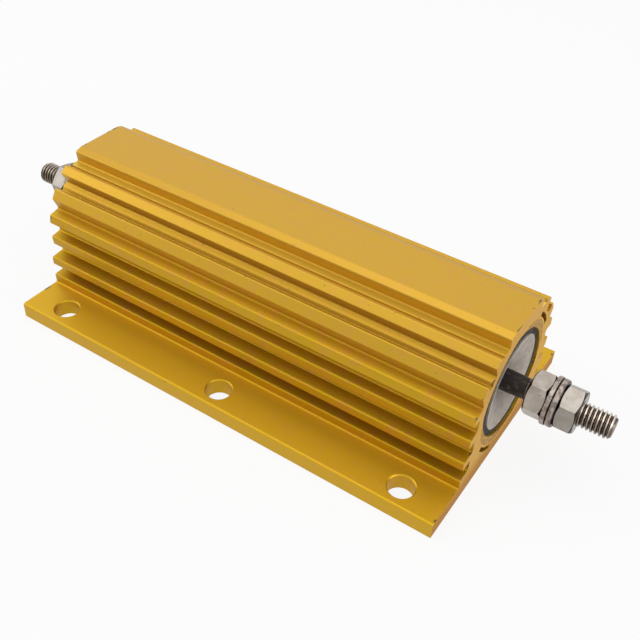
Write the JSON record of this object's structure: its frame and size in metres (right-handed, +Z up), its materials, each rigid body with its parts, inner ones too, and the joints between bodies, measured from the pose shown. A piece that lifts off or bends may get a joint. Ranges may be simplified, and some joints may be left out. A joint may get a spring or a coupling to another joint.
{
  "type": "aluminium housed power resistor",
  "caption": "Wirewound power resistor in a finned, flanged aluminium extrusion with mounting holes and a threaded stud terminal at each end.",
  "frame": {"origin": "centre of the base plane, midway between the ends of the housing", "axes": "+X along the housing and the terminals, +Y across the mounting flanges, +Z up from the mounting surface"},
  "size_m": [0.176, 0.07, 0.0405],
  "materials": {
    "anodised_aluminium": "satin gold anodised",
    "core_ceramic": "unglazed",
    "resistance_wire": "drawn wire",
    "cement": "matt, gritty",
    "end_disc_ceramic": "matt, speckled",
    "cap_steel": "plain",
    "stud_steel": "plain thread, dark shank",
    "nut_steel": "plain",
    "washer_steel": "plain"
  },
  "bodies": {
    "root": {"housing": "anodised_aluminium", "ceramic_core": "core_ceramic", "resistance_winding": "resistance_wire", "core_fill": "cement", "end_cap_left": "cap_steel", "end_cap_right": "cap_steel", "end_seal_left": "end_disc_ceramic", "end_seal_right": "end_disc_ceramic", "terminal_stud_left": "stud_steel", "terminal_stud_right": "stud_steel", "inner_nut_left": "nut_steel", "inner_nut_right": "nut_steel", "flat_washer_left": "washer_steel", "flat_washer_right": "washer_steel", "spring_washer_left": "washer_steel", "spring_washer_right": "washer_steel", "outer_nut_left": "nut_steel", "outer_nut_right": "nut_steel"}
  },
  "joints": []
}
